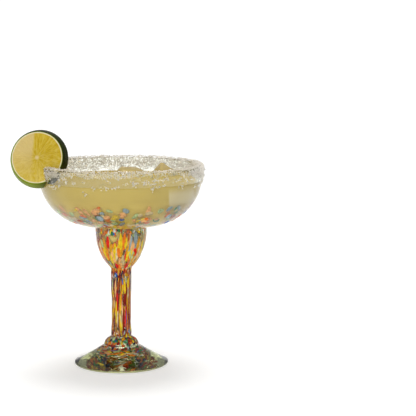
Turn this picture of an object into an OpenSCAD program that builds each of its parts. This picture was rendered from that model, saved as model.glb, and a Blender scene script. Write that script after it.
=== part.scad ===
// Margarita in a hand-blown confetti glass, with a salted rim and a lime wheel.
// The foot stands on z = 0, centred on the Z axis. All sizes are millimetres.

/* [Bowl] */
// Outer diameter of the bowl at the rim
rim_d = 132; // [110:1:160]
// Height of the rim above the table
rim_z = 162.6; // [150:0.1:195]
// Height of the underside of the bowl, where the small cup hangs from it
bowl_z = 114.2; // [100:0.1:122]
// Length of the upright wall just under the rim
rim_straight = 2.8; // [0:0.1:6]
// Thickness of the wall at the rim
rim_wall = 3.4; // [2.4:0.1:5]
// Thickness of the glass in the floor of the bowl
bowl_floor = 3.4; // [2.4:0.1:5]
// Diameter of the flat middle of the bowl's underside
bowl_neck_d = 47.4; // [44:0.1:60]
// Fullness of the bowl's curve, where 2 is a plain ellipse
bowl_fullness = 2.2; // [1.8:0.05:3]

/* [Cup below the bowl] */
// Outer diameter of the cup, just below the bowl
cup_d = 41.6; // [36:0.1:43]
// Height of the point where the cup runs into the stem
cup_z = 78.7; // [70:0.1:90]
// Thickness of the cup's wall
cup_wall = 3; // [2:0.1:5]
// Thickness of the glass under the cup's hollow
cup_floor = 8.5; // [5:0.1:14]
// Fullness of the cup's side, where 1 is a straight taper
cup_fullness = 2.5; // [1.5:0.05:4]

/* [Stem] */
// Stem diameter just below the cup
stem_top_d = 16.4; // [12:0.1:22]
// Stem diameter at its slimmer middle
stem_mid_d = 15.3; // [11:0.1:20]
// Stem diameter where it stands on the knob
stem_base_d = 16.5; // [12:0.1:22]

/* [Knob and foot] */
// Diameter of the knob
knob_d = 28.4; // [24:0.1:36]
// Height of the knob's widest line, where the foot flares away from it
knob_z = 15; // [11:0.1:20]
// Rise of the knob's domed top above its widest line, if it closed to a point
knob_rise = 8.5; // [6:0.1:12]
// Diameter of the foot
foot_d = 76.4; // [64:0.1:100]
// Thickness of the foot at its rounded lip
foot_lip = 1.8; // [1.2:0.1:4]
// Sweep of the foot's upper face, where 1 is a straight cone
foot_sweep = 1.15; // [1:0.05:1.6]

/* [Drink] */
// Distance from the rim down to the surface of the drink
drink_drop = 12; // [6:0.1:25]

/* [Lime wheel] */
// Diameter of the whole fruit
lime_d = 48; // [38:0.1:58]
// Length of the whole fruit
lime_length = 54; // [44:0.1:72]
// Thickness of the slice
slice_t = 7.4; // [5:0.1:9.5]
// Distance from the fruit's middle to the slice's back face
slice_off = 5.7; // [2:0.1:9]
// Place of the slice on the rim, counterclockwise from +X
lime_azimuth = 202.7; // [190:0.1:215]
// How far the slice's centre hangs outside the rim's wall
lime_out = 4.2; // [0:0.1:8]
// Height of the slice's centre above the rim
lime_up = 7.5; // [5:0.1:11]
// Turn of the slice's face to the left, in degrees
lime_turn = 8.5; // [-6:0.5:12]
// Lean of the slice's top away from the front, in degrees
lime_lean = 15; // [0:0.5:18]
// Clearance between the slit in the slice and the glass
slit_gap = 0.3; // [0.15:0.05:0.6]

/* [Salt] */
// Mean depth of the salt band down the outside of the rim
salt_out_h = 9; // [5:0.1:16]
// Bare glass left between the salt's lowest edge inside the rim and the drink
salt_above_drink = 0.5; // [0.3:0.1:3]
// Mean thickness of the salt crust on the outside of the wall
salt_out_t = 1.9; // [0.6:0.05:2.6]
// Mean thickness of the salt crust on the inside of the wall
salt_in_t = 1.2; // [0.6:0.05:1.8]
// How much the band's edge and thickness wander, as a share
salt_uneven = 0.28; // [0:0.01:0.4]
// Clearance between the crust and the glass
salt_gap = 0.15; // [0.1:0.01:0.3]
// Clearance between the ends of the crust and the slice
salt_end_gap = 0.5; // [0.3:0.1:2]

/* [Hidden] */
$fn = 96;

bowl_steps = 22;          // straight pieces along the bowl's curve
cup_steps = 14;           // straight pieces along the cup's curve
stem_steps = 12;          // straight pieces along the stem
knob_steps = 8;           // straight pieces over the knob's dome
foot_steps = 6;           // straight pieces along the foot's upper face
lip_steps = 5;            // straight pieces round the foot's lip
rim_steps = 8;            // straight pieces over the rounded rim
slice_steps = 4;          // straight pieces across the rind
salt_turns = 64;          // slices of the salt band around the rim
salt_rows = 3;            // rows of points down each side of the salt band
salt_cap = 4;             // steps of points over the rim, from side to side

rim_r = rim_d / 2;
bowl_neck_r = bowl_neck_d / 2;
cup_r = cup_d / 2;
rim_in_r = rim_r - rim_wall;
rim_mid_r = rim_r - rim_wall / 2;
rim_bead = rim_wall / 2;                       // the rim is rounded over its whole wall
bowl_top = rim_z - rim_bead - rim_straight;    // where the curved wall becomes upright
bowl_in_z = bowl_z + bowl_floor;
bowl_in_neck_r = bowl_neck_r - rim_wall;
cup_in_r = cup_r - cup_wall;
cup_in_z = cup_z + cup_floor;
cup_lip_z = bowl_z - cup_wall / 2;             // where the cup's hollow opens into the bowl
cup_taper = 1.12;                              // exponent of the cup's underside
bowl_under = 2;                                // exponent of the bowl's underside
level = rim_z - drink_drop;

// A quarter curve from the middle of the floor (s = 0) out and up to the wall (s = 90).
function quarter(r0, r1, z0, z1, a, b, s) =
    [r0 + (r1 - r0) * pow(sin(s), 2 / b), z1 - (z1 - z0) * pow(cos(s), 2 / a)];
function quarter_curve(r0, r1, z0, z1, a, b, n) =
    [for (i = [0:n]) quarter(r0, r1, z0, z1, a, b, 90 * i / n)];
function ease(t) = t <= 0 ? 0 : t >= 1 ? 1 : t * t * (3 - 2 * t);
function reversed(list) = [for (i = [len(list) - 1:-1:0]) list[i]];

// The outlines of the glass, each from its lowest point upwards.
bowl_outer = quarter_curve(bowl_neck_r, rim_r, bowl_z, bowl_top, bowl_fullness, bowl_under, bowl_steps);
bowl_inner = quarter_curve(bowl_in_neck_r, rim_in_r, bowl_in_z, bowl_top, bowl_fullness, bowl_under,
                           bowl_steps);
cup_outer = quarter_curve(stem_top_d / 2, cup_r, cup_z, bowl_z, cup_fullness, cup_taper, cup_steps);
cup_inner = quarter_curve(0, cup_in_r, cup_in_z, cup_lip_z, cup_fullness, cup_taper, cup_steps);

// Knob: the upper part of an ellipse, from its widest line to the stem.
knob_r = knob_d / 2;
knob_end = acos(stem_base_d / knob_d);
stem_z = knob_z + knob_rise * sin(knob_end);
knob_outline = [for (i = [0:knob_steps])
    [knob_r * cos(knob_end * i / knob_steps), knob_z + knob_rise * sin(knob_end * i / knob_steps)]];

// Stem: full at the knob, slimmer over its lower half and full again below the cup.
stem_len = cup_z - stem_z;
function stem_r(t) = stem_mid_d / 2 + (stem_base_d - stem_mid_d) / 2 * (1 - ease(t / 0.3))
                     + (stem_top_d - stem_mid_d) / 2 * ease((t - 0.55) / 0.15);
stem_outline = [for (i = [1:stem_steps - 1]) [stem_r(i / stem_steps), stem_z + stem_len * i / stem_steps]];

// Foot: a low cone with a thin rounded lip, flat underneath.
foot_r = foot_d / 2;
lip_r = foot_lip / 2;
foot_lip_outline = [for (i = [0:lip_steps]) let (turn = 180 * i / (lip_steps + 1))
    [foot_r - lip_r + lip_r * sin(turn), lip_r - lip_r * cos(turn)]];
foot_outline = [for (i = [0:foot_steps - 1])
    [foot_r - lip_r + (knob_r - foot_r + lip_r) * i / foot_steps,
     foot_lip + (knob_z - foot_lip) * pow(i / foot_steps, foot_sweep)]];

// Rim: rounded over the whole wall. off is a distance outside the glass.
function rim_point(off, turn) =
    [rim_mid_r + (rim_bead + off) * cos(turn), rim_z - rim_bead + (rim_bead + off) * sin(turn)];
rim_outline = [for (i = [0:rim_steps]) rim_point(0, 180 * i / rim_steps)];

hollow_outline = concat(cup_inner, bowl_inner);

module glass() {
    color("#c9cdb4", 0.6)
        rotate_extrude()
            polygon(concat([[0, 0]], foot_lip_outline, foot_outline, knob_outline, stem_outline,
                           cup_outer, bowl_outer, rim_outline, reversed(hollow_outline)));
}

// Radii of the wall at a height near the rim, on the outside and on the inside.
function wall_r(r0, r1, z0, z) = z >= bowl_top ? r1 :
    r0 + (r1 - r0) * pow(1 - pow((bowl_top - z) / (bowl_top - z0), bowl_fullness), 1 / bowl_under);
function outer_r(z) = wall_r(bowl_neck_r, rim_r, bowl_z, z);
function inner_r(z) = wall_r(bowl_in_neck_r, rim_in_r, bowl_in_z, z);

// The drink fills the cup's hollow and the bowl up to its level.
module drink() {
    color("#bfa868")
        difference() {
            intersection() {
                rotate_extrude() polygon(concat(hollow_outline, [[rim_in_r, rim_z], [0, rim_z]]));
                cylinder(h = level, r = rim_r);
            }
            place_slice() slice_body(slit_gap);
        }
}

// The whole slice, grown by a margin, with its back face on the far side and its axis along Y.
function fruit_r(h) = lime_d / 2 * sqrt(1 - pow(h / (lime_length / 2), 2));
rind_heights = [for (i = [0:slice_steps]) slice_off + slice_t * i / slice_steps];
module slice_body(grow) {
    back = slice_off - grow;
    front = slice_off + slice_t + grow;
    rotate([90, 0, 0])
        translate([0, 0, -slice_off - slice_t / 2])
            rotate_extrude()
                polygon(concat([[0, back], [fruit_r(slice_off) + grow, back]],
                               [for (h = rind_heights) [fruit_r(h) + grow, h]],
                               [[fruit_r(slice_off + slice_t) + grow, front], [0, front]]));
}
module place_slice() {
    translate([rim_mid_r * cos(lime_azimuth) - lime_out, rim_mid_r * sin(lime_azimuth), rim_z + lime_up])
        rotate([-lime_lean, 0, -lime_turn])
            children();
}

// The slit: the glass wall itself, with its clearance, cut down through the slice.
slit_steps = 8;           // straight pieces down the slit
slit_low = max(rim_z - lime_d, bowl_in_z);
function slit_z(i) = slit_low + (bowl_top - slit_low) * i / slit_steps;
module slit() {
    rotate_extrude()
        polygon(concat([for (i = [0:slit_steps]) [outer_r(slit_z(i)) + slit_gap, slit_z(i)]],
                       [[rim_r + slit_gap, rim_z + slit_gap], [rim_in_r - slit_gap, rim_z + slit_gap]],
                       [for (i = [slit_steps:-1:0]) [inner_r(slit_z(i)) - slit_gap, slit_z(i)]]));
}

// Lime wheel: a cross slice of the fruit, slit from its edge and pushed down over the rim.
module lime_wheel() {
    color("#c9ad4a")
        difference() {
            place_slice() slice_body(0);
            slit();
        }
}

// Salt crust: one band over the rim, with an uneven lower edge and thickness, open round the lime.
salt_in_h = (drink_drop - rim_bead - salt_above_drink) / (1 + salt_uneven);
salt_most = max(salt_out_t, salt_in_t) * (1 + salt_uneven);
slice_skew = lime_azimuth - 180 + lime_turn;   // between the slice's face and the rim's radius
break_top = lime_up - salt_most;               // the crust's top and bottom, below the slice's centre
break_low = lime_up + rim_bead + salt_out_h * (1 + salt_uneven);
break_mid = (break_top + break_low) / 2 * tan(lime_lean) / cos(slice_skew);
break_half = (slice_t / 2 / cos(lime_lean) + (break_low - break_top) / 2 * tan(lime_lean)) / cos(slice_skew)
             + (rim_bead + salt_most) * tan(slice_skew) + salt_end_gap;
function along_rim(length) = length / rim_mid_r * 180 / PI;
salt_first = lime_azimuth + along_rim(break_mid + break_half);
salt_step = (360 - 2 * along_rim(break_half)) / salt_turns;
// An uneven outline that closes on itself round the rim, from -1 to 1.
function wander(a) = (sin(3 * a + 40) + sin(7 * a + 110) + sin(16 * a) + 0.8 * sin(29 * a + 75)) / 3.8;
function band_h(mean, a) = mean * (1 + salt_uneven * wander(a));

// One point of the band's section, at a distance off the glass: k runs from the outer edge over the rim.
salt_last = 2 * salt_rows + salt_cap;
function crust_t(a, k) =
    (salt_out_t + (salt_in_t - salt_out_t) * k / salt_last) * (1 + salt_uneven * wander(a + 47 * k));
function side_z(mean, a, k) = rim_z - rim_bead - band_h(mean, a) * (1 - k / salt_rows);
function salt_point(a, k, off) =
    k < salt_rows ? [outer_r(side_z(salt_out_h, a, k)) + off, side_z(salt_out_h, a, k)] :
    k > salt_rows + salt_cap ? [inner_r(side_z(salt_in_h, a, salt_last - k)) - off,
                                side_z(salt_in_h, a, salt_last - k)] :
    rim_point((rim_bead + off) / cos(90 / salt_cap) - rim_bead, 180 * (k - salt_rows) / salt_cap);
// The straight steps of the crust's skin next to the glass pass just outside the round wall.
function hug(p) = p[0] > rim_mid_r ? [p[0] / cos(salt_step / 2), p[1]] : p;
function around(p, a) = [p[0] * cos(a), p[0] * sin(a), p[1]];
function salt_section(a) = concat(
    [for (k = [0:salt_last]) around(hug(salt_point(a, k, salt_gap)), a)],
    [for (k = [salt_last:-1:0]) around(salt_point(a, k, salt_gap + crust_t(a, k)), a)]);

module salt_rim() {
    ring = 2 * (salt_last + 1);
    points = [for (i = [0:salt_turns]) each salt_section(salt_first + salt_step * i)];
    sides = [for (i = [0:salt_turns - 1], j = [0:ring - 1])
        let (p = i * ring + j, q = i * ring + (j + 1) % ring)
        each [[p, p + ring, q], [q, p + ring, q + ring]]];
    // Each end is closed by a strip of triangles between the crust's two skins.
    ends = [for (e = [0, salt_turns], k = [0:salt_last - 1])
        let (b = e * ring, p = b + k, q = b + k + 1, r = b + ring - 1 - k, s = b + ring - 2 - k)
        each (e == 0 ? [[p, q, r], [q, s, r]] : [[p, r, q], [q, r, s]])];
    color("whitesmoke") polyhedron(points, concat(sides, ends), convexity = 8);
}

glass();
drink();
lime_wheel();
salt_rim();
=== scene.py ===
import bisect
import math
import random

import bmesh
import bpy
from mathutils import Euler, Matrix, Vector


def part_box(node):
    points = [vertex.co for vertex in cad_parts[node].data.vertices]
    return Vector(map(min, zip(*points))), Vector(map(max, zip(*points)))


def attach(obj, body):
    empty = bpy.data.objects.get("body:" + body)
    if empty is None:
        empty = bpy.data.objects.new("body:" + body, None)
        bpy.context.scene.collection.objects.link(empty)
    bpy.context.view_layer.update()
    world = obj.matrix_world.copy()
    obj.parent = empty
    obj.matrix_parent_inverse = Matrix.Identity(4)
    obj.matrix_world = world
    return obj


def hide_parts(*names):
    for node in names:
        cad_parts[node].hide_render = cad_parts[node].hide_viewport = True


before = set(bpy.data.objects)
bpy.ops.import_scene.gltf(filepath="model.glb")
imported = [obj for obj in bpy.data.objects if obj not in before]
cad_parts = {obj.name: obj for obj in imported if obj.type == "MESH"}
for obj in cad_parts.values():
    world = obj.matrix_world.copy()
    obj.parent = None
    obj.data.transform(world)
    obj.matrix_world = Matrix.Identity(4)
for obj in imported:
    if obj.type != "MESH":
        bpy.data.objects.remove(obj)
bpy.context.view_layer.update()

# ---------------------------------------------------------------------------------------------------
# Glass. One piece of hand-blown glass: a wide bowl, a small cup under it, a stem, a knob and a cone of
# a foot. It is blown and worked in one heat, so every corner is melted soft and the walls wave a little.
# ---------------------------------------------------------------------------------------------------
MM = 0.001
glass_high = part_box("glass")[1]
RIM_R = glass_high[0] / MM
RIM_Z = glass_high[2] / MM
RIM_WALL = 3.4
RIM_STRAIGHT = 2.8
BOWL_Z = 114.2
BOWL_FLOOR = 3.4
BOWL_NECK_R = 23.7
BOWL_FULLNESS = 2.2
CUP_R = 20.8
CUP_Z = 78.7
CUP_WALL = 3.0
CUP_FLOOR = 8.5
CUP_FULLNESS = 2.5
CUP_TAPER = 1.12
STEM_TOP_R = 8.2
STEM_MID_R = 7.65
STEM_BASE_R = 8.25
KNOB_R = 14.2
KNOB_Z = 15.0
KNOB_RISE = 8.5
FOOT_R = 38.2
FOOT_LIP = 1.8
FOOT_SWEEP = 1.15
BOWL_TOP = RIM_Z - RIM_WALL / 2 - RIM_STRAIGHT
TURNS = 160


def quarter(r0, r1, z0, z1, rise, spread, steps):
    """A quarter curve from the middle of a floor out and up to its wall, as (radius, height) points."""
    points = []
    for i in range(steps + 1):
        a = math.pi / 2 * i / steps
        across = math.sin(a) ** (2 / spread)
        down = max(math.cos(a), 0.0) ** (2 / rise)
        points.append((r0 + (r1 - r0) * across, z1 - (z1 - z0) * down))
    return points


def ease(t):
    t = min(max(t, 0.0), 1.0)
    return t * t * (3 - 2 * t)


def stem_radius(t):
    swell = (STEM_BASE_R - STEM_MID_R) * (1 - ease(t / 0.3))
    return STEM_MID_R + swell + (STEM_TOP_R - STEM_MID_R) * ease((t - 0.55) / 0.15)


def even_steps(points, spacing):
    """The same outline with points at an even spacing, so that it can be melted evenly."""
    result = [points[0]]
    left = spacing
    for (r0, z0), (r1, z1) in zip(points, points[1:]):
        length = math.hypot(r1 - r0, z1 - z0)
        done = left
        while done < length:
            t = done / length
            result.append((r0 + (r1 - r0) * t, z0 + (z1 - z0) * t))
            done += spacing
        left = done - length
    if math.dist(result[-1], points[-1]) > spacing / 3:
        result.append(points[-1])
    else:
        result[-1] = points[-1]
    return result


def melted(points, rounds):
    """Softens the outline's corners, with its two ends kept."""
    for _ in range(rounds):
        inner = [
            tuple((a + 2 * b + c) / 4 for a, b, c in zip(p, q, r))
            for p, q, r in zip(points, points[1:], points[2:])
        ]
        points = [points[0]] + inner + [points[-1]]
    return points


bowl_outside = quarter(BOWL_NECK_R, RIM_R, BOWL_Z, BOWL_TOP, BOWL_FULLNESS, 2, 48)
bowl_inside = quarter(
    BOWL_NECK_R - RIM_WALL, RIM_R - RIM_WALL, BOWL_Z + BOWL_FLOOR, BOWL_TOP, BOWL_FULLNESS, 2, 48
)
cup_outside = quarter(STEM_TOP_R, CUP_R, CUP_Z, BOWL_Z, CUP_FULLNESS, CUP_TAPER, 32)
cup_inside = quarter(
    0, CUP_R - CUP_WALL, CUP_Z + CUP_FLOOR, BOWL_Z - CUP_WALL / 2, CUP_FULLNESS, CUP_TAPER, 32
)
knob_end = math.acos(STEM_BASE_R / KNOB_R)
knob_outside = [
    (KNOB_R * math.cos(knob_end * i / 16), KNOB_Z + KNOB_RISE * math.sin(knob_end * i / 16))
    for i in range(17)
]
stem_z = knob_outside[-1][1]
stem_outside = [
    (stem_radius(i / 24), stem_z + (CUP_Z - stem_z) * i / 24) for i in range(1, 24)
]
lip_r = FOOT_LIP / 2
foot_lip = [
    (FOOT_R - lip_r + lip_r * math.sin(math.pi * i / 8), lip_r - lip_r * math.cos(math.pi * i / 8))
    for i in range(8)
]
foot_top = []
for i in range(64):
    r = FOOT_R - lip_r + (KNOB_R - FOOT_R + lip_r) * i / 64
    z = FOOT_LIP + (KNOB_Z - FOOT_LIP) * (i / 64) ** FOOT_SWEEP
    # The crease where the knob sits on the foot.
    foot_top.append((r, z - 1.2 * math.exp(-(((r - 14.8) / 0.8) ** 2))))
rim_bead = [
    (
        RIM_R - RIM_WALL / 2 + RIM_WALL / 2 * math.cos(math.pi * i / 10),
        RIM_Z - RIM_WALL / 2 + RIM_WALL / 2 * math.sin(math.pi * i / 10),
    )
    for i in range(11)
]
# The outside from the table to the rim, and the hollow from the bottom of the cup to the rim.
skin = melted(
    even_steps(foot_top + knob_outside + stem_outside + cup_outside + bowl_outside, 0.6), 3
)
hollow = melted(even_steps(cup_inside + bowl_inside, 0.8), 6)


def spin_outline(points, turns):
    """A turned solid of an outline that starts and ends on the axis, in millimetres."""
    bm = bmesh.new()
    verts = [bm.verts.new((r, 0, z)) for r, z in points]
    edges = [bm.edges.new(pair) for pair in zip(verts, verts[1:])]
    bmesh.ops.spin(
        bm, geom=verts + edges, cent=(0, 0, 0), axis=(0, 0, 1), angle=math.tau, steps=turns,
        use_merge=True, use_duplicate=False,
    )
    bmesh.ops.remove_doubles(bm, verts=bm.verts, dist=0.001)
    bmesh.ops.recalc_face_normals(bm, faces=bm.faces)
    return bm


def to_piece(bm, name, material):
    """The finished piece, scaled from millimetres to metres, riding on the glass's body."""
    bmesh.ops.scale(bm, vec=(MM, MM, MM), verts=bm.verts)
    mesh = bpy.data.meshes.new(name)
    bm.to_mesh(mesh)
    bm.free()
    mesh.materials.append(material)
    mesh.shade_smooth()
    piece = bpy.data.objects.new(name, mesh)
    bpy.context.scene.collection.objects.link(piece)
    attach(piece, "root")
    return piece


class Shader:
    """A material's node tree, with short calls for the nodes that these finishes need."""

    def __init__(self, name):
        self.material = bpy.data.materials.new(name)
        self.material.use_nodes = True
        self.tree = self.material.node_tree
        self.surface = self.tree.nodes["Principled BSDF"]

    def node(self, kind, **settings):
        made = self.tree.nodes.new(kind)
        for key, value in settings.items():
            setattr(made, key, value)
        return made

    def put(self, value, socket):
        """Sets a socket to a plain value, or links an output to it."""
        if isinstance(value, bpy.types.NodeSocket):
            self.tree.links.new(value, socket)
        else:
            socket.default_value = value

    def set(self, **values):
        for key, value in values.items():
            self.put(value, self.surface.inputs[key.replace("_", " ")])

    def place(self):
        return self.node("ShaderNodeTexCoord").outputs["Object"]

    def maths(self, operation, a, b=0.0, c=0.0, clamp=False):
        made = self.node("ShaderNodeMath", operation=operation, use_clamp=clamp)
        for value, socket in zip((a, b, c), made.inputs):
            self.put(value, socket)
        return made.outputs[0]

    def stretch(self, vector, scale):
        made = self.node("ShaderNodeMapping")
        self.put(vector, made.inputs["Vector"])
        made.inputs["Scale"].default_value = scale
        return made.outputs[0]

    def noise(self, vector, scale, detail=3.0, roughness=0.55, distortion=0.0):
        made = self.node("ShaderNodeTexNoise")
        self.put(vector, made.inputs["Vector"])
        made.inputs["Scale"].default_value = scale
        made.inputs["Detail"].default_value = detail
        made.inputs["Roughness"].default_value = roughness
        made.inputs["Distortion"].default_value = distortion
        return made.outputs["Fac"]

    def ramp(self, factor, *stops):
        made = self.node("ShaderNodeValToRGB")
        self.put(factor, made.inputs["Fac"])
        elements = made.color_ramp.elements
        while len(elements) < len(stops):
            elements.new(0.5)
        for element, (position, colour) in zip(elements, stops):
            element.position = position
            element.color = (*colour, 1.0)
        return made.outputs["Color"]

    def blend(self, factor, a, b, mode="MIX"):
        made = self.node("ShaderNodeMix", data_type="RGBA", blend_type=mode)
        self.put(factor, made.inputs["Factor"])
        for value, socket in ((a, made.inputs[6]), (b, made.inputs[7])):
            self.put((*value, 1.0) if isinstance(value, tuple) else value, socket)
        return made.outputs[2]

    def between(self, value, low, high, soft):
        """1 where the value lies between low and high, falling to 0 over a soft edge."""
        rise = self.maths("DIVIDE", self.maths("SUBTRACT", value, low), soft, clamp=True)
        fall = self.maths("DIVIDE", self.maths("SUBTRACT", high, value), soft, clamp=True)
        return self.maths("MULTIPLY", rise, fall)

    def bump(self, height, strength, distance):
        made = self.node("ShaderNodeBump")
        self.put(height, made.inputs["Height"])
        made.inputs["Strength"].default_value = strength
        made.inputs["Distance"].default_value = distance
        self.tree.links.new(made.outputs["Normal"], self.surface.inputs["Normal"])


def clear_glass():
    """Clear blown glass: smooth, faintly olive where it is thick, with slow waves in its skin."""
    s = Shader("confetti_glass")
    s.set(
        Base_Color=(0.97, 0.98, 0.93, 1), Roughness=0.015, IOR=1.5, Transmission_Weight=1.0,
        Specular_IOR_Level=0.28,
    )
    waves = s.noise(s.stretch(s.place(), (1, 1, 0.45)), 90, detail=2.0, distortion=0.6)
    s.bump(waves, 0.35, 0.0006)
    body = s.node("ShaderNodeVolumeAbsorption")
    body.inputs["Color"].default_value = (0.66, 0.71, 0.16, 1)
    body.inputs["Density"].default_value = 15.0
    output = s.tree.nodes["Material Output"]
    s.tree.links.new(body.outputs[0], output.inputs["Volume"])
    # Lamps reach what is inside the thin walls, and the thick foot takes more of their light.
    rays = s.node("ShaderNodeLightPath")
    clear = s.node("ShaderNodeBsdfTransparent")
    parts = s.node("ShaderNodeSeparateXYZ")
    s.put(s.place(), parts.inputs[0])
    high = s.maths("MULTIPLY", s.maths("SUBTRACT", parts.outputs[2], 0.012), 60.0, clamp=True)
    s.put(s.blend(high, (0.70, 0.70, 0.56), (0.92, 0.94, 0.86)), clear.inputs["Color"])
    passing = s.node("ShaderNodeMixShader")
    s.tree.links.new(rays.outputs["Is Shadow Ray"], passing.inputs["Fac"])
    s.tree.links.new(s.surface.outputs[0], passing.inputs[1])
    s.tree.links.new(clear.outputs[0], passing.inputs[2])
    s.tree.links.new(passing.outputs[0], output.inputs["Surface"])
    return s.material


outline = [(0, 0)] + foot_lip + skin + rim_bead[1:] + list(reversed(hollow))
bm = spin_outline(outline, TURNS)
glass = to_piece(bm, "blown_glass", clear_glass())
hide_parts("glass")

# ---------------------------------------------------------------------------------------------------
# Confetti. Chips of coloured glass that the hot glass was rolled in. They are fused flush into its
# skin: flecks under the bowl, long petals on the cup, stretched streaks on the stem, patches below.
# ---------------------------------------------------------------------------------------------------
CHIP_COLOURS = {
    "red": (0.60, 0.018, 0.009),
    "maroon": (0.20, 0.014, 0.006),
    "rust": (0.36, 0.075, 0.010),
    "orange": (0.66, 0.165, 0.014),
    "amber": (0.55, 0.26, 0.014),
    "yellow": (0.66, 0.46, 0.012),
    "green": (0.035, 0.19, 0.055),
    "sage": (0.42, 0.50, 0.22),
    "blue": (0.030, 0.105, 0.37),
    "slate": (0.26, 0.33, 0.35),
    "navy": (0.007, 0.012, 0.040),
    "cream": (0.60, 0.47, 0.24),
    "peach": (0.68, 0.36, 0.13),
    "white": (0.72, 0.72, 0.66),
}
draw = random.Random(7)


def measured(points):
    """An outline with its length up to each point, to place chips along."""
    lengths = [0.0]
    for p, q in zip(points, points[1:]):
        lengths.append(lengths[-1] + math.dist(p, q))
    return points, lengths


def length_at(path, value, index):
    """The length along an outline where its radius (0) or height (1) first reaches a value."""
    for p, length in zip(*path):
        if p[index] >= value:
            return length


def on_path(path, s, turn, out):
    """A point at a length along an outline and a turn round the axis, moved outwards, and its radius."""
    points, lengths = path
    s = min(max(s, 0.0), lengths[-1] - 1e-6)
    k = bisect.bisect_right(lengths, s) - 1
    t = (s - lengths[k]) / (lengths[k + 1] - lengths[k])
    (r0, z0), (r1, z1) = points[k], points[k + 1]
    along = Vector((r1 - r0, z1 - z0)).normalized()
    r = r0 + (r1 - r0) * t + along.y * out
    z = z0 + (z1 - z0) * t - along.x * out
    return Vector((r * math.cos(turn), r * math.sin(turn), z)), r


outer_skin = measured(skin)
# The coloured gather runs on a little way inside the clear foot, and ends there in a curl.
buried_curl = measured(
    [(13.8, 13.6), (16.4, 11.4), (18.0, 8.8), (18.2, 6.6), (17, 4.8), (13, 3.8), (6, 3.6)]
)
chip_meshes = {name: bmesh.new() for name in CHIP_COLOURS}


def lay_chip(path, colour, s, turn, length, width, tilt, depth, thick):
    """One chip: a melted blob, long along the skin, with a wavering outline, bent to the skin."""
    bm = chip_meshes[colour]
    made = bmesh.ops.create_icosphere(bm, subdivisions=2, radius=1.0)["verts"]
    waver = [draw.uniform(0, math.tau) for _ in range(3)]
    sag = draw.uniform(-0.35, 0.35)
    _, r = on_path(path, s, turn, 0.0)
    for v in made:
        u, w, h = v.co.z, v.co.x, v.co.y
        edge = 1 + 0.16 * math.sin(2.5 * u + waver[0]) + 0.10 * math.sin(6 * u + waver[1])
        along = u * length / 2
        across = (w * edge + sag * u * u * 0.6) * width / 2
        a = along * math.cos(tilt) - across * math.sin(tilt)
        c = along * math.sin(tilt) + across * math.cos(tilt)
        v.co, _ = on_path(path, s + a, turn + c / r, h * thick / 2 - depth)


S_KNOB = length_at(measured([(-r, z) for r, z in skin]), -KNOB_R - 0.2, 0)
S_STEM = length_at(outer_skin, stem_z, 1)
S_CUP = length_at(outer_skin, CUP_Z, 1)
S_BOWL = length_at(outer_skin, BOWL_Z - 0.3, 1)


def scatter(count, s_low, s_high, length, width, tilt, depth, mix, lean=0.0, thick=0.5, path=outer_skin):
    """Chips at random over a band of an outline. mix is a list of colours, repeated for more of one."""
    for _ in range(count):
        long = draw.uniform(*length)
        reach = long / 2 * math.cos(lean)
        lay_chip(
            path, draw.choice(mix), draw.uniform(s_low + reach, max(s_high - reach, s_low + reach)),
            draw.uniform(0, math.tau), long, draw.uniform(*width), draw.gauss(lean, tilt),
            draw.uniform(*depth), thick,
        )


stem_mix = (
    ["amber"] * 9 + ["rust"] * 8 + ["yellow"] * 4 + ["orange"] * 2 + ["maroon"] * 8 + ["cream"] * 2
    + ["navy"] * 2 + ["green"] * 2 + ["slate", "sage", "red", "blue", "peach"]
)
cup_mix = (
    ["amber"] * 5 + ["orange"] * 5 + ["red"] * 3 + ["yellow"] * 5 + ["cream"] * 5 + ["sage"] * 2
    + ["rust"] * 2 + ["peach"] * 3 + ["blue", "slate"]
)
collar_mix = (
    ["orange"] * 4 + ["rust"] * 2 + ["maroon", "blue", "navy", "green", "white"] + ["yellow"] * 3
    + ["sage"] * 3 + ["cream"] * 4
)
knob_mix = (
    ["orange"] * 4 + ["rust"] * 3 + ["green"] * 4 + ["yellow"] * 2 + ["red"] * 2 + ["navy"] * 3
    + ["maroon"] * 3 + ["blue", "slate", "sage", "amber"]
)
ring_mix = (
    ["rust"] * 3 + ["maroon"] * 2 + ["orange"] * 4 + ["sage"] * 3 + ["green"] * 3
    + ["navy", "cream", "yellow", "yellow", "blue", "slate"]
)
ring_top_mix = (
    ["orange"] * 5 + ["rust"] * 5 + ["maroon"] * 3 + ["cream"] * 2 + ["yellow"] * 3 + ["green"] * 2
    + ["navy", "blue", "sage", "peach"]
)
bowl_mix = (
    ["sage"] * 8 + ["peach"] * 8 + ["orange"] * 3 + ["yellow"] * 4 + ["rust"] * 2 + ["slate"] * 5
    + ["cream"] * 7 + ["green", "blue"]
)
# Under the bowl: flecks lying every way, thinning out towards its side.
scatter(120, S_BOWL, S_BOWL + 26, (2.4, 6.0), (1.8, 3.6), 1.5, (0.1, 0.7), bowl_mix)
scatter(260, S_BOWL + 18, S_BOWL + 42, (4.0, 9.0), (3.0, 5.6), 1.5, (0.1, 0.6), bowl_mix)
scatter(46, S_BOWL + 36, S_BOWL + 49, (5.0, 10.5), (3.2, 5.8), 1.5, (0.2, 0.9), bowl_mix)
# Cup: petals, crowded and short at the top, long and drawn out towards the stem.
scatter(230, S_CUP + 1, S_BOWL - 2, (9, 19), (2.4, 4.6), 0.07, (0.05, 0.3), cup_mix)
scatter(110, S_CUP - 4, S_CUP + 9, (4, 10), (1.6, 3.0), 0.07, (0.15, 0.4), cup_mix)
scatter(170, S_BOWL - 8, S_BOWL + 1, (2.5, 6), (1.4, 2.8), 0.5, (0.1, 0.3), collar_mix)
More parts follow.
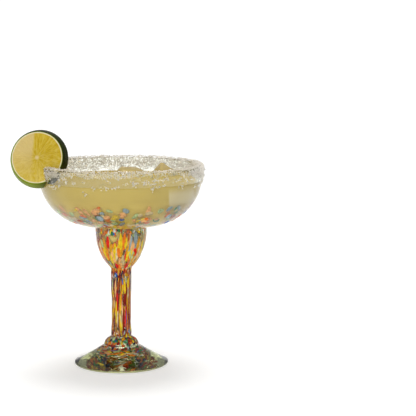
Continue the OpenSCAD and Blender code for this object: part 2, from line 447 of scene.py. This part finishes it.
# Stem: streaks all but cover it.
scatter(420, S_STEM - 1, S_CUP + 2, (8, 24), (0.8, 2.0), 0.04, (0.05, 0.3), stem_mix)
scatter(110, S_STEM - 0.5, S_STEM + 7, (3, 6), (0.9, 2.0), 0.05, (0.05, 0.3), stem_mix)
scatter(150, S_CUP - 8, S_CUP + 2, (3, 6), (1.0, 2.2), 0.05, (0.05, 0.3), stem_mix)
scatter(75, S_KNOB - 9, S_KNOB - 0.5, (3.5, 8), (1.2, 2.6), 0.25, (0.5, 1.4), ring_top_mix, lean=1.35)
# Knob: bold patches. Inside the foot below it: a swirl of thin ones.
scatter(170, S_KNOB - 0.4, S_STEM + 1, (2.6, 5), (1.8, 3.6), 0.5, (0.15, 0.4), knob_mix, thick=0.6)
scatter(70, S_KNOB - 3.5, S_KNOB + 1.5, (2, 4), (1.4, 2.8), 0.5, (0.15, 0.4), knob_mix)
scatter(90, 0.0, 20.0, (4, 10), (0.9, 2.4), 0.25, (0.0, 0.4), ring_mix, lean=1.35, path=buried_curl)


def chip_glass(name, colour):
    """Fused coloured glass: opaque and glossy, streaked lighter and darker where it was drawn out."""
    s = Shader("chip_" + name)
    streaks = s.noise(s.stretch(s.place(), (1, 1, 0.3)), 700, detail=3.0)
    dark = tuple(c * 0.62 for c in colour)
    light = tuple(min(c * 1.2 + 0.008, 1) for c in colour)
    s.set(
        Base_Color=s.ramp(streaks, (0.32, dark), (0.5, colour), (0.7, light)),
        Roughness=0.3, IOR=1.5, Specular_IOR_Level=0.06,
    )
    return s.material


for name, colour in CHIP_COLOURS.items():
    chips = to_piece(chip_meshes[name], "chips_" + name, chip_glass(name, colour))

# ---------------------------------------------------------------------------------------------------
# Drink. Lime juice, tequila and orange liqueur shaken cloudy: pale gold and hard to see through. It
# fills the cup and the bowl to its level, and climbs a little where it wets the glass.
# ---------------------------------------------------------------------------------------------------
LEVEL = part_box("drink")[1][2] / MM
INTO_WALL = 0.12
MENISCUS = 0.6

drink_side = [(r + INTO_WALL, z) for r, z in hollow if z < LEVEL + MENISCUS * 0.8]
drink_side[0] = (0, drink_side[0][1] - INTO_WALL)
edge_r = drink_side[-1][0]
drink_top = []
for i in range(1, 25):
    inward = 9.0 * (i / 24) ** 2
    drink_top.append((edge_r - inward, LEVEL + MENISCUS * math.exp(-inward / 1.1) - 0.02))
drink_top += [(edge_r - 9 - (edge_r - 9) * i / 10, LEVEL - 0.02) for i in range(1, 11)]


def cloudy_drink():
    """Gold and even, lighter low down and darker on top in painted light, with a greyer painted
    reflection at the front right.
    """
    s = Shader("cloudy_drink")
    place = s.place()
    drift = s.noise(place, 28, detail=3.0, distortion=0.8)
    gold = s.ramp(drift, (0.3, (0.545, 0.405, 0.100)), (0.7, (0.575, 0.435, 0.118)))
    parts = s.node("ShaderNodeSeparateXYZ")
    s.put(place, parts.inputs[0])
    x, y, z = parts.outputs
    # Painted light: the drink is painted brighter gold low down, in the cup and the bottom of the bowl,
    # where little light reaches it.
    low = s.maths("MULTIPLY", s.maths("SUBTRACT", 0.141, z), 46.0, clamp=True)
    gold = s.blend(s.maths("MULTIPLY", low, 0.95), gold, (0.98, 0.75, 0.20))
    # Painted shade: the drink's top surface is painted darker, against the strong light from overhead.
    top = s.maths("MULTIPLY", s.maths("SUBTRACT", z, LEVEL * MM - 0.00012), 20000.0, clamp=True)
    gold = s.blend(top, gold, (0.52, 0.375, 0.070))
    # Painted reflection: a greyer patch on the right of the drink's front, where the wall reflects the
    # room.
    painted_reflection_patch = s.between(x, 0.0385, 0.0575, 0.0012)
    painted_reflection_patch = s.maths("MULTIPLY", painted_reflection_patch, s.between(z, 0.132, 0.1502, 0.006))
    painted_reflection_patch = s.maths("MULTIPLY", painted_reflection_patch, s.between(y, -0.06, 0.0, 0.004))
    s.set(
        Base_Color=s.blend(s.maths("MULTIPLY", painted_reflection_patch, 0.85), gold, (0.70, 0.60, 0.40)),
        Roughness=0.4, IOR=1.34, Specular_IOR_Level=0.15,
    )
    return s.material


drink = to_piece(spin_outline(drink_side + drink_top, 144), "margarita", cloudy_drink())
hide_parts("drink")

# ---------------------------------------------------------------------------------------------------
# Ice. A few half-melted cubes that float, with only their worn tops out of the drink.
# ---------------------------------------------------------------------------------------------------
ICE = [
    # x, y, size, height of the top above the drink, rounding of its edges, turns about X, Y and Z
    (33.0, 37.0, 21.0, 9.6, 0.10, 0.42, 0.60, 0.30),
    (47.0, 30.0, 20.0, 5.6, 0.22, 0.10, 0.20, 0.5),
    (5.0, 42.0, 27.0, 6.0, 0.34, 0.10, 0.10, 0.12),
    (-22.0, 12.0, 22.0, 1.6, 0.20, 0.25, -0.20, 0.4),
    (12.0, -4.0, 23.0, 1.3, 0.20, -0.18, 0.22, 1.2),
    (40.0, -14.0, 20.0, 1.8, 0.20, 0.35, -0.30, 0.2),
    (-10.0, -34.0, 20.0, 1.3, 0.20, -0.30, 0.15, 0.7),
]


def wet_ice():
    s = Shader("wet_ice")
    frost = s.noise(s.place(), 160, detail=4.0)
    s.set(
        Base_Color=s.ramp(frost, (0.35, (0.54, 0.40, 0.13)), (0.65, (0.63, 0.485, 0.18))),
        Roughness=0.2, IOR=1.31, Transmission_Weight=0.15,
    )
    s.bump(frost, 0.3, 0.0008)
    return s.material


bm = bmesh.new()
for x, y, size, top, rounding, *turns in ICE:
    made = bmesh.ops.create_cube(bm, size=size)["verts"]
    edges = list({e for v in made for e in v.link_edges})
    rounded = bmesh.ops.bevel(
        bm, geom=edges, offset=size * rounding, offset_type="OFFSET", segments=5, profile=0.5,
        affect="EDGES", material=-1,
    )["faces"]
    corner = {v for f in rounded for v in f.verts} | {v for v in made if v.is_valid}
    turned = Euler(turns).to_matrix()
    for v in corner:
        v.co = turned @ v.co
        wear = (math.sin(v.co.y * 0.5), math.sin(v.co.x * 0.4 + 1), math.sin(v.co.x * 0.6))
        v.co += Vector(wear) * 0.5
    highest = max(v.co.z for v in corner)
    for v in corner:
        v.co += Vector((x, y, LEVEL + top - highest))
bmesh.ops.recalc_face_normals(bm, faces=bm.faces)
ice = to_piece(bm, "ice", wet_ice())

# ---------------------------------------------------------------------------------------------------
# Lime wheel. A cross slice with a waxy dark green rind, a white pith, ten segments of juice sacs round
# a pale core, and a slit from its edge that sits over the glass's wall.
# ---------------------------------------------------------------------------------------------------
LIME_R = 24.0
LIME_HALF = 27.0
SLICE_T = 7.4
SLICE_OFF = 5.7
LIME_AZIMUTH = math.radians(202.7)
LIME_OUT = 4.2
LIME_UP = 7.5
LIME_TURN = math.radians(8.5)
LIME_LEAN = math.radians(15)
SLIT_GAP = 0.3
SEGMENTS = 10
SEGMENT_START = 0.22
RIND = 0.45
PITH = 1.0
CORE_R = 1.5

rim_mid = RIM_R - RIM_WALL / 2
slice_middle = Vector(
    (rim_mid * math.cos(LIME_AZIMUTH) - LIME_OUT, rim_mid * math.sin(LIME_AZIMUTH), RIM_Z + LIME_UP)
)
slice_turn = Euler((-LIME_LEAN, 0, -LIME_TURN)).to_matrix()
slice_to_glass = Matrix.Translation(slice_middle) @ slice_turn.to_4x4()


def fruit_radius(h):
    """The fruit's radius at a distance from its middle, in the slice's own frame, whose front is -Y."""
    return LIME_R * math.sqrt(1 - (h / LIME_HALF) ** 2)


def face_relief(r, turn, rind_r):
    """How far a point of the cut face stands back: the flesh has shrunk a little between its walls."""
    flesh_r = rind_r - RIND - PITH
    if r > flesh_r or r < CORE_R:
        return 0.0
    across = abs(((turn / math.tau * SEGMENTS) % 1) - 0.5) * 2
    wall = ease((1 - across) * r / 2.2)
    edge = ease((flesh_r - r) / 1.2) * ease((r - CORE_R) / 1.2)
    sacs = 0.09 * math.sin(turn * 47 + 3 * math.sin(r * 0.9)) + 0.06 * math.sin(turn * 83 + r * 1.7)
    return (0.28 + sacs) * wall * edge


bm = bmesh.new()
front = -SLICE_T / 2
rows = []
rings = 40
front_r = fruit_radius(SLICE_OFF + SLICE_T)
back_r = fruit_radius(SLICE_OFF)
for i in range(rings + 1):
    rows.append((front_r * i / rings, front))
for i in range(1, 9):
    rows.append((fruit_radius(SLICE_OFF + SLICE_T * (1 - i / 8)), front + SLICE_T * i / 8))
for i in range(1, rings + 1):
    rows.append((back_r * (1 - i / rings), -front))
verts = [bm.verts.new((r, y, 0)) for r, y in rows]
edges = [bm.edges.new(pair) for pair in zip(verts, verts[1:])]
bmesh.ops.spin(
    bm, geom=verts + edges, cent=(0, 0, 0), axis=(0, 1, 0), angle=math.tau, steps=240,
    use_merge=True, use_duplicate=False,
)
bmesh.ops.remove_doubles(bm, verts=bm.verts, dist=0.001)
bmesh.ops.recalc_face_normals(bm, faces=bm.faces)
for v in bm.verts:
    r = math.hypot(v.co.x, v.co.z)
    turn = math.atan2(v.co.z, v.co.x) + SEGMENT_START
    if v.co.y < front + 0.01:
        v.co.y += face_relief(r, turn, front_r)
    elif v.co.y > -front - 0.01:
        v.co.y -= face_relief(r, turn, back_r)
bm.transform(slice_to_glass)

# The cutter for the slit: the glass's own wall, thicker by the slit's clearance on every side.
cutter = bmesh.new()
wall_out = [p for p in bowl_outside if p[1] > BOWL_Z + 20]
wall_in = [p for p in bowl_inside if p[1] > BOWL_Z + 20]
section = [(r + SLIT_GAP, z) for r, z in wall_out] + [(RIM_R + SLIT_GAP, RIM_Z + SLIT_GAP)]
section += [(RIM_R - RIM_WALL - SLIT_GAP, RIM_Z + SLIT_GAP)]
section += [(r - SLIT_GAP, z) for r, z in reversed(wall_in)]
ring = [cutter.verts.new((r, 0, z)) for r, z in section]
cutter_face = cutter.faces.new(ring)
bmesh.ops.rotate(
    cutter, verts=cutter.verts, cent=(0, 0, 0),
    matrix=Matrix.Rotation(LIME_AZIMUTH - math.radians(22), 3, "Z"),
)
bmesh.ops.spin(
    cutter, geom=[cutter_face], cent=(0, 0, 0), axis=(0, 0, 1), angle=math.radians(44), steps=44,
    use_duplicate=False,
)
bmesh.ops.recalc_face_normals(cutter, faces=cutter.faces)


def plain_object(bm, name):
    mesh = bpy.data.meshes.new(name)
    bm.to_mesh(mesh)
    bm.free()
    made = bpy.data.objects.new(name, mesh)
    bpy.context.scene.collection.objects.link(made)
    return made


whole = plain_object(bm, "whole_slice")
knife = plain_object(cutter, "slit_knife")
cut = whole.modifiers.new("slit", "BOOLEAN")
cut.operation = "DIFFERENCE"
cut.solver = "EXACT"
cut.object = knife
bpy.context.view_layer.update()
shaped = whole.evaluated_get(bpy.context.evaluated_depsgraph_get()).to_mesh()
bm = bmesh.new()
bm.from_mesh(shaped)
bpy.data.objects.remove(whole)
bpy.data.objects.remove(knife)
bmesh.ops.triangulate(bm, faces=[f for f in bm.faces if len(f.verts) > 4])


def lime():
    """The slice as one solid pattern: rind, zest, pith, flesh and core by distance from its axis."""
    s = Shader("lime")
    place = s.node("ShaderNodeAttribute", attribute_name="in_slice").outputs["Vector"]
    parts = s.node("ShaderNodeSeparateXYZ")
    s.put(place, parts.inputs[0])
    x, y, z = parts.outputs
    r = s.maths("SQRT", s.maths("ADD", s.maths("MULTIPLY", x, x), s.maths("MULTIPLY", z, z)))
    turn = s.maths("ARCTAN2", z, x)
    # Distance in from the skin, in millimetres.
    h = s.maths("DIVIDE", s.maths("SUBTRACT", SLICE_OFF + SLICE_T / 2, y), LIME_HALF)
    taper = s.maths("SQRT", s.maths("SUBTRACT", 1.0, s.maths("MULTIPLY", h, h)))
    skin_r = s.maths("MULTIPLY", LIME_R, taper)
    wander = s.maths("MULTIPLY", s.maths("SUBTRACT", s.noise(place, 0.22, 2.0), 0.5), 0.9)
    depth = s.maths("SUBTRACT", skin_r, r)
    depth_w = s.maths("ADD", depth, wander)

    # Flesh: golden, finely fibred outwards from the core, paler in the walls between the segments.
    fibre_place = s.node("ShaderNodeCombineXYZ")
    s.put(s.maths("MULTIPLY", turn, 14.0), fibre_place.inputs[0])
    s.put(s.maths("MULTIPLY", r, 0.16), fibre_place.inputs[1])
    s.put(s.maths("MULTIPLY", y, 0.4), fibre_place.inputs[2])
    fibres = s.noise(fibre_place.outputs[0], 1.0, 4.0, 0.6, 0.6)
    flesh = s.ramp(
        fibres, (0.30, (0.40, 0.265, 0.006)), (0.48, (0.47, 0.325, 0.016)), (0.68, (0.55, 0.415, 0.055))
    )
    # Two of the segments on the left are paler.
    pale = s.maths("DIVIDE", s.maths("SUBTRACT", -2.6, x), 2.4, clamp=True)
    higher = s.maths("ADD", 0.75, s.maths("MULTIPLY", z, 0.045))
    pale = s.maths("MULTIPLY", pale, higher, clamp=True)
    flesh = s.blend(s.maths("MULTIPLY", pale, 0.75), flesh, (0.58, 0.45, 0.20))
    # Sacs that have dried a little are paler, more of them low down.
    dry = s.maths("ADD", s.noise(place, 0.30, 4.0, 0.7), s.maths("MULTIPLY", z, -0.008))
    dry = s.maths("MULTIPLY", s.maths("SUBTRACT", dry, 0.47), 3.0, clamp=True)
    flesh = s.blend(s.maths("MULTIPLY", dry, 0.55), flesh, (0.63, 0.51, 0.17))
    segment = s.maths("ADD", turn, SEGMENT_START + math.tau)
    segment = s.maths("DIVIDE", segment, math.tau / SEGMENTS)
    off_middle = s.maths("ABSOLUTE", s.maths("SUBTRACT", s.maths("FRACT", segment), 0.5))
    off_wall = s.maths("SUBTRACT", 1.0, s.maths("MULTIPLY", off_middle, 2.0))
    off_wall = s.maths("MULTIPLY", off_wall, r)
    wall = s.maths("SUBTRACT", 1.0, s.maths("MULTIPLY", off_wall, 0.75), clamp=True)
    flesh = s.blend(s.maths("MULTIPLY", wall, 0.28), flesh, (0.57, 0.44, 0.13))
    core = s.maths("SUBTRACT", 1.0, s.maths("DIVIDE", r, CORE_R + 0.5), clamp=True)
    flesh = s.blend(s.maths("MULTIPLY", core, 1.6, clamp=True), flesh, (0.58, 0.46, 0.22))

    pith_edge = s.maths("MULTIPLY", s.maths("SUBTRACT", RIND + PITH + 0.15, depth_w), 2.2, clamp=True)
    cut_face = s.blend(pith_edge, flesh, (0.64, 0.58, 0.40))
    zest_edge = s.maths("MULTIPLY", s.maths("SUBTRACT", RIND + 0.32, depth), 5.0, clamp=True)
    cut_face = s.blend(zest_edge, cut_face, (0.24, 0.30, 0.010))
    peel = s.ramp(
        s.noise(place, 0.35, 5.0, 0.65), (0.35, (0.010, 0.014, 0.001)), (0.65, (0.026, 0.034, 0.002))
    )
    # The peel is lighter towards the left and the bottom: partly its own uneven colour, partly painted
    # light on the side the lamps fall on.
    peel_tone_and_painted_light = s.maths("SUBTRACT", s.maths("MULTIPLY", x, -0.055), s.maths("MULTIPLY", z, 0.035), clamp=True)
    peel = s.blend(peel_tone_and_painted_light, peel, (0.16, 0.21, 0.003))
    peel_edge = s.maths("MULTIPLY", s.maths("SUBTRACT", RIND - 0.05, depth), 8.0, clamp=True)
    colour = s.blend(peel_edge, cut_face, peel)
    pores = s.node("ShaderNodeTexVoronoi")
    s.put(place, pores.inputs["Vector"])
    pores.inputs["Scale"].default_value = 1.1
    s.set(
        Base_Color=colour,
        Roughness=s.maths("ADD", 0.22, s.maths("MULTIPLY", fibres, 0.25)),
        IOR=1.4, Specular_IOR_Level=0.1, Subsurface_Weight=0.15, Subsurface_Scale=0.004,
    )
    s.surface.inputs["Subsurface Radius"].default_value = (1.0, 0.8, 0.3)
    dimples = s.maths("MULTIPLY", pores.outputs["Distance"], peel_edge)
    height = s.maths("ADD", s.maths("MULTIPLY", fibres, 0.5), s.maths("MULTIPLY", dimples, 0.8))
    s.bump(height, 0.5, 0.0005)
    return s.material


wheel = to_piece(bm, "lime_slice", lime())
into_slice = slice_to_glass.inverted()
in_slice = wheel.data.attributes.new("in_slice", "FLOAT_VECTOR", "POINT")
for v in wheel.data.vertices:
    in_slice.data[v.index].vector = into_slice @ (v.co / MM)
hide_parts("lime_wheel")

# ---------------------------------------------------------------------------------------------------
# Salt. The wetted rim was pressed into coarse salt: clear broken crystals, crowded over the rim and
# down both sides of the wall, and a few stuck lower on the outside.
# ---------------------------------------------------------------------------------------------------
SALT_OUT_H = 9.0
SALT_IN_H = 7.6
salt_draw = random.Random(31)
LIME_CLEAR = 0.6


def salt_wander(a):
    """How far the crust's edge wanders at a turn round the rim, from -1 to 1."""
    slow = math.sin(3 * a + 0.7) + math.sin(7 * a + 1.92)
    quick = math.sin(16 * a) + 0.8 * math.sin(29 * a + 1.3)
    return (slow + quick) / 3.8


def wall_point(along, turn, off):
    """A point on the rim's wall. along is the distance from the top: below 0 inside, above 0 outside."""
    bead = RIM_WALL / 2
    half = bead * math.pi / 2
    if abs(along) < half:
        a = along / bead
        r = RIM_R - bead + (bead + off) * math.sin(a)
        z = RIM_Z - bead + (bead + off) * math.cos(a)
    else:
        z = RIM_Z - bead - (abs(along) - half)
        drop = max(BOWL_TOP - z, 0.0)
        if along > 0:
            full = 1 - (drop / (BOWL_TOP - BOWL_Z)) ** BOWL_FULLNESS
            r = BOWL_NECK_R + (RIM_R - BOWL_NECK_R) * math.sqrt(full) + off
        else:
            neck = BOWL_NECK_R - RIM_WALL
            full = 1 - (drop / (BOWL_TOP - BOWL_Z - BOWL_FLOOR)) ** BOWL_FULLNESS
            r = neck + (RIM_R - RIM_WALL - neck) * math.sqrt(full) - off
    return Vector((r * math.cos(turn), r * math.sin(turn), z))


def near_slice(point, margin):
    """True where the lime slice is."""
    local = into_slice @ point
    return abs(local.y) < SLICE_T / 2 + margin and math.hypot(local.x, local.z) < LIME_R + margin


grain_bm = bmesh.new()
bmesh.ops.create_cube(grain_bm, size=1.0)
grain_shape = [v.co.copy() for v in grain_bm.verts]
grain_faces = [[v.index for v in f.verts] for f in grain_bm.faces]
grain_bm.free()

grains = {"salt_grains": ([], []), "wet_salt_grains": ([], [])}


def lay_grain(point, size):
    """One crystal. Those in front have drawn in some of the drink and turned clear."""
    in_front = point.y < -30 + salt_draw.gauss(0, 6)
    salt_points, salt_faces = grains["wet_salt_grains" if in_front else "salt_grains"]
    turned = Euler([salt_draw.uniform(0, math.tau) for _ in range(3)]).to_matrix()
    stretch = [size * salt_draw.uniform(0.6, 1.25) for _ in range(3)]
    start = len(salt_points)
    for corner in grain_shape:
        chipped = [c * d * salt_draw.uniform(0.72, 1.1) for c, d in zip(corner, stretch)]
        salt_points.append(point + turned @ Vector(chipped))
    salt_faces.extend([start + k for k in face] for face in grain_faces)


def thins(turn):
    """How much of the crust is left low down: all at the sides and the back, little in front."""
    from_front = abs(math.degrees(turn - 4.85 + math.pi) % 360 - 180)
    return 0.16 + 0.84 * ease((from_front - 38) / 40)


for _ in range(15500):
    turn = salt_draw.uniform(0, math.tau)
    low = 2.6 + 1.4 * salt_wander(turn + 0.4) + SALT_OUT_H * thins(turn)
    deep = (SALT_IN_H + 3.6) * (1 + 0.28 * salt_wander(turn))
    along = salt_draw.uniform(-deep, SALT_OUT_H + 3.5)
    if along < 0 and -along > deep * (0.30 + 0.70 * thins(turn)):
        continue
    if along > 0 and along > low * (0.45 + 0.55 * salt_draw.random()):
        continue
    off = salt_draw.uniform(0.1, 1.1 if along > 0 else 0.9) + 0.8 * math.exp(-((along / 2.2) ** 2))
    point = wall_point(along, turn, off)
    if not near_slice(point, LIME_CLEAR):
        lay_grain(point, salt_draw.uniform(0.42, 0.88))
# Clumps that slid down the outside, and a few that stand up on the rim.
for _ in range(80):
    turn = salt_draw.uniform(3.3, 6.4)
    middle = salt_draw.triangular(3, 17, 5)
    for _ in range(salt_draw.randint(2, 9)):
        along = middle + salt_draw.gauss(0, 0.9)
        point = wall_point(along, turn + salt_draw.gauss(0, 0.018), salt_draw.uniform(0.1, 0.6))
        if not near_slice(point, LIME_CLEAR):
            lay_grain(point, salt_draw.uniform(0.6, 1.1))
STANDING = (
    # turn round the axis, distance down the outside, height
    (0.42, 0.4, 2.2),
    (0.02, 4.0, 1.9),
    (0.05, 9.5, 1.4),
    (1.25, 0.2, 1.5),
    (1.9, 0.0, 1.2),
)
for turn, along, high in STANDING:
    for _ in range(9):
        spread = salt_draw.gauss(0, 0.012)
        point = wall_point(along + salt_draw.gauss(0, 0.5), turn + spread, salt_draw.uniform(0.2, high))
        lay_grain(point, salt_draw.uniform(0.8, 1.3))


def salt_crystal(name, clear):
    s = Shader(name)
    cloud = s.noise(s.place(), 900, detail=2.0)
    s.set(
        Base_Color=s.ramp(cloud, (0.3, (0.94, 0.90, 0.83)), (0.7, (0.99, 0.97, 0.93))),
        Roughness=0.6, IOR=1.15, Transmission_Weight=clear,
    )
    return s.material


for name, clear in (("salt_grains", 0.4), ("wet_salt_grains", 0.8)):
    salt_points, salt_faces = grains[name]
    salt_mesh = bpy.data.meshes.new(name)
    salt_mesh.from_pydata([p * MM for p in salt_points], [], salt_faces)
    salt_mesh.materials.append(salt_crystal(name, clear))
    salt_mesh.shade_flat()
    salt = bpy.data.objects.new(name, salt_mesh)
    bpy.context.scene.collection.objects.link(salt)
    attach(salt, "root")
    if name == "salt_grains":
        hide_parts("salt_rim")

# ---------------------------------------------------------------------------------------------------
# Studio. A pale floor that runs out of view, soft light from all round and one large lamp overhead.
# ---------------------------------------------------------------------------------------------------
FLOOR_SIZE = 12.0
bm = bmesh.new()
bmesh.ops.create_grid(bm, x_segments=1, y_segments=1, size=FLOOR_SIZE / 2)
bmesh.ops.translate(bm, verts=bm.verts, vec=(0, 0, -0.0002))
floor_mesh = bpy.data.meshes.new("floor")
bm.to_mesh(floor_mesh)
bm.free()
floor = bpy.data.objects.new("floor", floor_mesh)
bpy.context.scene.collection.objects.link(floor)
paper = Shader("paper")
paper.set(
    Base_Color=(0.86, 0.86, 0.86, 1), Roughness=0.9, Specular_IOR_Level=0.0,
    Emission_Color=(1, 1, 1, 1), Emission_Strength=0.27,
)
floor_mesh.materials.append(paper.material)

# White behind the glass and overhead, dim all round, so that the glass keeps its dark edges.
world = bpy.data.worlds.new("studio")
bpy.context.scene.world = world
world.use_nodes = True
links = world.node_tree.links
nodes = world.node_tree.nodes
way = nodes.new("ShaderNodeTexCoord")
axes = nodes.new("ShaderNodeSeparateXYZ")
links.new(way.outputs["Generated"], axes.inputs[0])
glow = None
for axis, start, end, amount in ((1, 0.93, 0.985, 0.62), (1, -0.2, -0.9, 0.3), (2, 0.25, 0.95, 0.2)):
    part = nodes.new("ShaderNodeMapRange")
    part.interpolation_type = "SMOOTHSTEP"
    part.inputs["From Min"].default_value = start
    part.inputs["From Max"].default_value = end
    part.inputs["To Max"].default_value = amount
    links.new(axes.outputs[axis], part.inputs["Value"])
    total = nodes.new("ShaderNodeMath")
    total.operation = "ADD"
    links.new(part.outputs[0], total.inputs[0])
    total.inputs[1].default_value = 0.28
    if glow:
        links.new(glow, total.inputs[1])
    glow = total.outputs[0]
soft = nodes["Background"]
soft.inputs["Color"].default_value = (1, 1, 1, 1)
links.new(glow, soft.inputs["Strength"])
backdrop = nodes.new("ShaderNodeBackground")
backdrop.inputs["Color"].default_value = (1, 1, 1, 1)
backdrop.inputs["Strength"].default_value = 1.1
seen = nodes.new("ShaderNodeLightPath")
either = nodes.new("ShaderNodeMixShader")
links.new(seen.outputs["Is Camera Ray"], either.inputs["Fac"])
links.new(soft.outputs[0], either.inputs[1])
links.new(backdrop.outputs[0], either.inputs[2])
links.new(either.outputs[0], nodes["World Output"].inputs["Surface"])

LAMPS = [
    # name, strength, softness and turns of a soft light from far away: from the front, and from overhead
    ("key", 1.55, 60, (73, 0, -7)),
    ("overhead", 1.25, 24, (-13, 0, 0)),
]
for name, strength, softness, turns in LAMPS:
    light = bpy.data.lights.new(name, "SUN")
    light.energy = strength
    light.angle = math.radians(softness)
    lamp = bpy.data.objects.new(name, light)
    lamp.rotation_euler = [math.radians(turn) for turn in turns]
    bpy.context.scene.collection.objects.link(lamp)

camera_data = bpy.data.cameras.new("camera")
camera_data.sensor_width = 36
camera_data.lens = 120.5
camera = bpy.data.objects.new("camera", camera_data)
camera.location = (0.0696, -1.116, 0.2827)
camera.rotation_euler = (math.radians(90 - 7.9), math.radians(-0.3), 0)
bpy.context.scene.collection.objects.link(camera)
bpy.context.scene.camera = camera
bpy.context.scene.view_settings.view_transform = "Standard"
